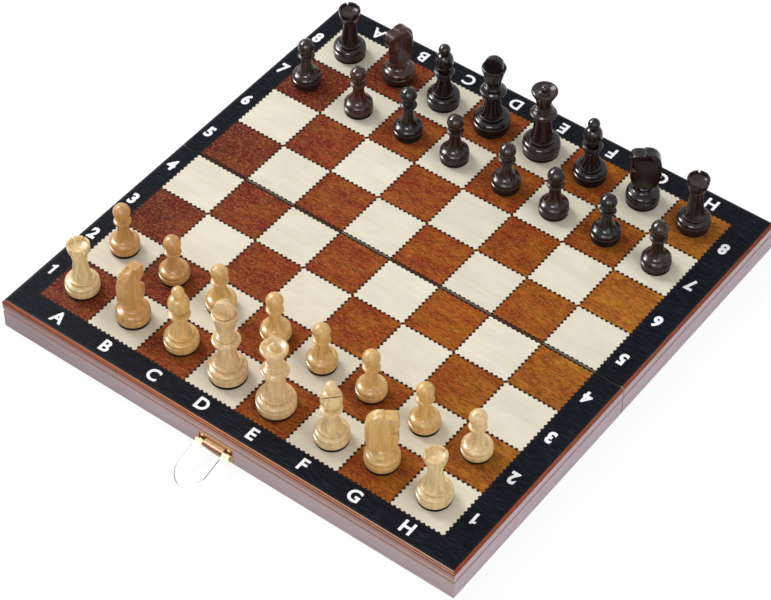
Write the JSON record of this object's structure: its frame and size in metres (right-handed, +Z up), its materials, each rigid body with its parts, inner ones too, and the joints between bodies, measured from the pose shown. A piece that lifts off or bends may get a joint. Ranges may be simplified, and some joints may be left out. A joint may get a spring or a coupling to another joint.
{
  "type": "folding chess box",
  "caption": "Folding wooden chess box opened flat as a board: two shallow trays hinged under the middle, a brass hasp and catch, and the chessmen set up on the squares.",
  "frame": {"origin": "middle of the open board, on the plane of both trays' rims, where the fold is", "axes": "+X along the ranks from file A to file H, +Y along the files from rank 1 to rank 8, +Z up out of the squares"},
  "size_m": [0.268, 0.2974, 0.0705],
  "materials": {
    "lacquered_wood": "mahogany stain under clear gloss lacquer",
    "blackened_veneer": "blue-black stained veneer, satin lacquer",
    "mahogany_veneer": "red-brown stained veneer, satin lacquer",
    "maple_veneer": "pale veneer, satin lacquer",
    "plywood": "bare plywood",
    "lining_felt": "dark green felt",
    "base_felt": "black felt",
    "steel": "plain bright steel",
    "brass": "bright brass plating",
    "light_wood": "pale turned wood, semi-gloss lacquer",
    "dark_wood": "very dark brown stained turned wood, gloss lacquer"
  },
  "bodies": {
    "near_half": {"near_core": "plywood", "near_steel": "steel", "near_light_squares": "maple_veneer", "near_dark_squares": "mahogany_veneer", "near_border": "blackened_veneer", "near_lining": "lining_felt", "near_outer_rail": "lacquered_wood", "near_left_rail": "lacquered_wood", "near_right_rail": "lacquered_wood", "near_middle_rail": "lacquered_wood", "left_hinge_near_leaf": "brass", "left_hinge_pin": "steel", "right_hinge_near_leaf": "brass", "right_hinge_pin": "steel", "near_hinge_screws": "brass", "clasp_plate": "brass", "clasp_pin": "brass", "clasp_nails": "brass", "light_king": "light_wood", "light_queen": "light_wood", "light_bishops": "light_wood", "light_knights": "light_wood", "light_rooks": "light_wood", "light_pawns": "light_wood", "light_felts": "base_felt", "light_magnets": "steel"},
    "far_half": {"far_core": "plywood", "far_steel": "steel", "far_light_squares": "maple_veneer", "far_dark_squares": "mahogany_veneer", "far_border": "blackened_veneer", "far_lining": "lining_felt", "far_outer_rail": "lacquered_wood", "far_left_rail": "lacquered_wood", "far_right_rail": "lacquered_wood", "far_middle_rail": "lacquered_wood", "left_hinge_far_leaf": "brass", "right_hinge_far_leaf": "brass", "far_hinge_screws": "brass", "catch": "brass", "catch_nails": "brass", "dark_king": "dark_wood", "dark_queen": "dark_wood", "dark_bishops": "dark_wood", "dark_knights": "dark_wood", "dark_rooks": "dark_wood", "dark_pawns": "dark_wood", "dark_felts": "base_felt", "dark_magnets": "steel"},
    "hasp": {"hasp": "brass"}
  },
  "joints": [
    {"name": "fold", "type": "hinge", "parent": "near_half", "child": "far_half", "pos_m": [0, 0, -0.00015], "axis": [-1, 0, 0], "range_deg": [0, 180]},
    {"name": "hasp_swing", "type": "hinge", "parent": "near_half", "child": "hasp", "pos_m": [-0.0015, -0.1364, 0.0072], "axis": [1, 0, 0], "range_deg": [-100, 74]}
  ]
}
